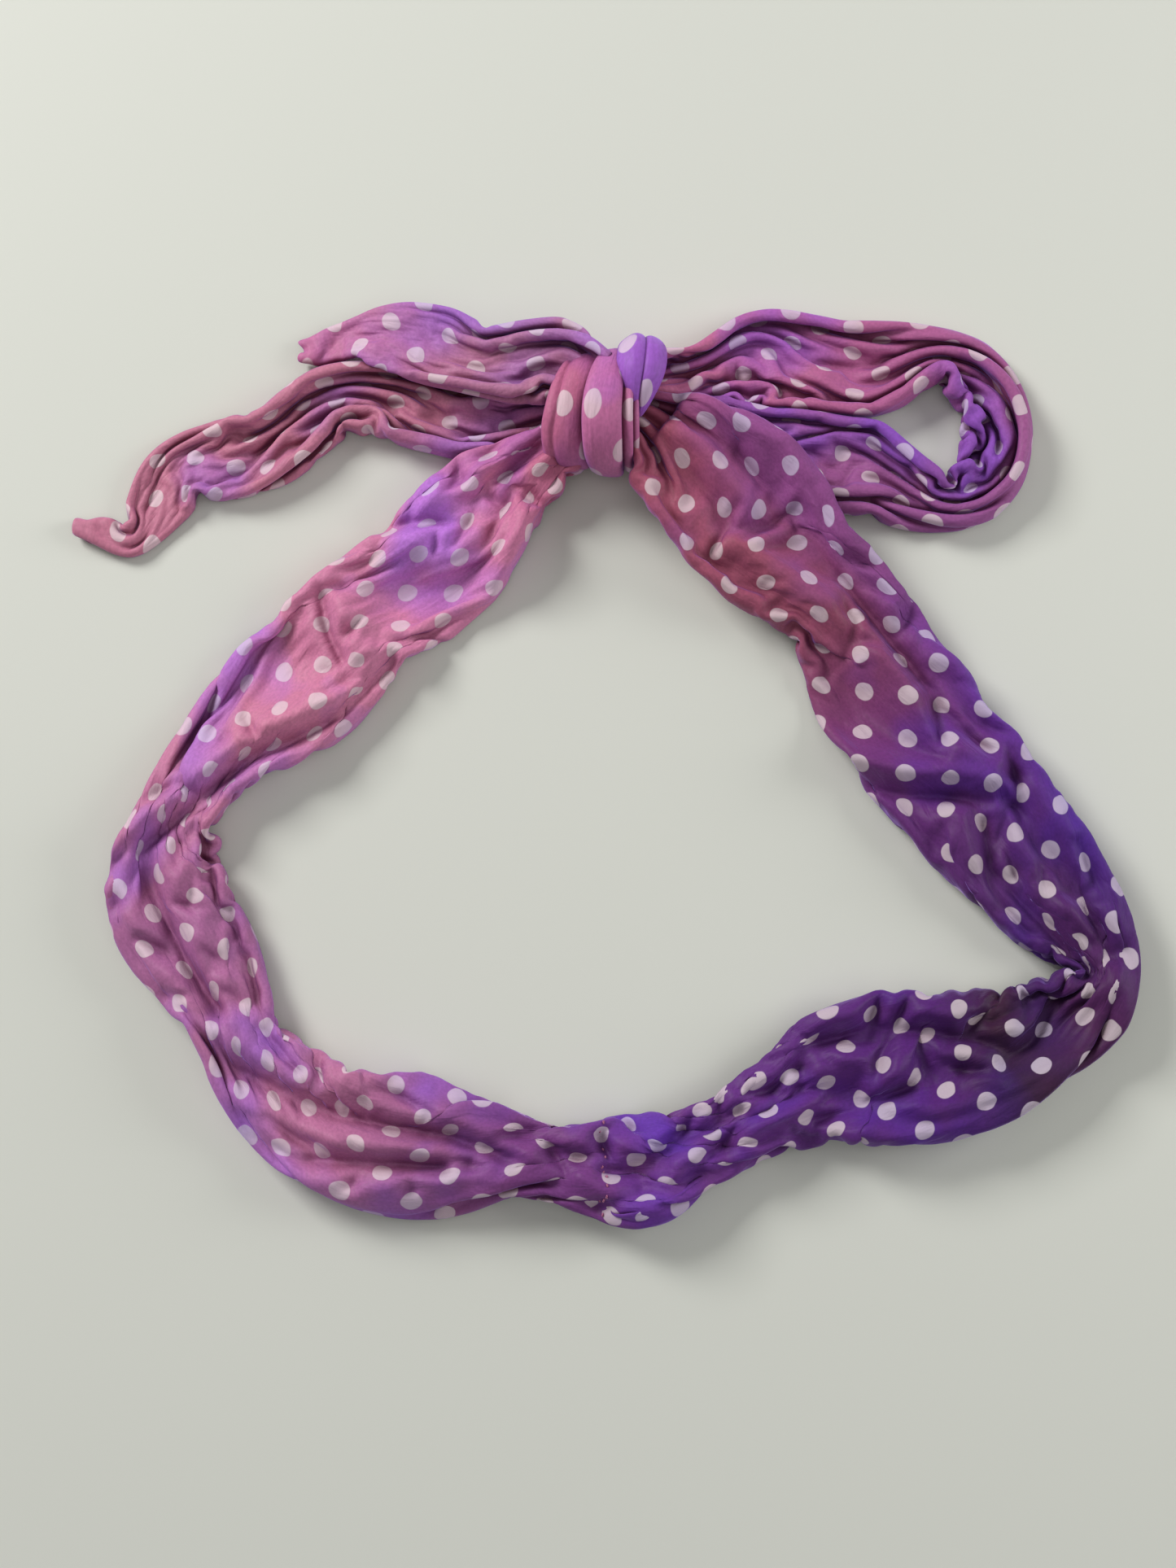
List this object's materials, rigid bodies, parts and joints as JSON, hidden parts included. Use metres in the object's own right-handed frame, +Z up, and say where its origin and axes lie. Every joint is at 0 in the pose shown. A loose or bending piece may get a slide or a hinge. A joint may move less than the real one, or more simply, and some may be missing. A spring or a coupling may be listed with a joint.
{
  "type": "knotted headband",
  "caption": "Soft polka-dot cloth headband: a ring of bunched cloth closed by a knot tied in a half bow, with a bow loop and two pointed tails.",
  "frame": {"origin": "centre of the object's box in plan, on the table that the headband lies on", "axes": "+Z up from the table; +Y from the front of the ring towards the knot; +X towards the bow loop"},
  "size_m": [0.2303, 0.1997, 0.024],
  "materials": {
    "dotted_cloth": "matte",
    "thread": "satin"
  },
  "bodies": {
    "knot": {"knot_core": "dotted_cloth", "knot_wrap": "dotted_cloth", "knot_tuck": "dotted_cloth", "knot_collar": "dotted_cloth", "ring_left_root": "dotted_cloth", "ring_left_arm": "dotted_cloth", "ring_left_elbow": "dotted_cloth", "ring_right_arm": "dotted_cloth", "ring_right_shoulder": "dotted_cloth", "ring_right_root": "dotted_cloth", "loop_upper_root": "dotted_cloth", "loop_lower_root": "dotted_cloth", "tail_long_root": "dotted_cloth", "tail_long_middle": "dotted_cloth", "tail_short_root": "dotted_cloth"},
    "front_half": {"ring_left_twist": "dotted_cloth", "ring_front_left": "dotted_cloth", "ring_front_neck": "dotted_cloth", "ring_front_middle": "dotted_cloth", "ring_front_waist": "dotted_cloth", "ring_front_right": "dotted_cloth", "ring_right_corner": "dotted_cloth", "ring_right_forearm": "dotted_cloth", "seam_front": "thread"},
    "bow_loop": {"loop_upper_leg": "dotted_cloth", "loop_turn": "dotted_cloth", "loop_lower_leg": "dotted_cloth"},
    "tail_long_end": {"tail_long_blade": "dotted_cloth", "tail_long_tip": "dotted_cloth"},
    "tail_short_end": {"tail_short_blade": "dotted_cloth", "tail_short_tip": "dotted_cloth"}
  },
  "joints": [
    {"name": "ring_fold", "type": "hinge", "parent": "knot", "child": "front_half", "pos_m": [0, -0.01, 0.0095], "axis": [-1, 0, 0], "range_deg": [0, 130]},
    {"name": "loop_lift", "type": "hinge", "parent": "knot", "child": "bow_loop", "pos_m": [0.05, 0.078, 0.0095], "axis": [0, -1, 0], "range_deg": [0, 120]},
    {"name": "tail_long_lift", "type": "hinge", "parent": "knot", "child": "tail_long_end", "pos_m": [-0.067, 0.074, 0.0085], "axis": [0, 1, 0], "range_deg": [0, 110]},
    {"name": "tail_short_lift", "type": "hinge", "parent": "knot", "child": "tail_short_end", "pos_m": [-0.022, 0.086, 0.017], "axis": [0, 1, 0], "range_deg": [0, 110]}
  ]
}
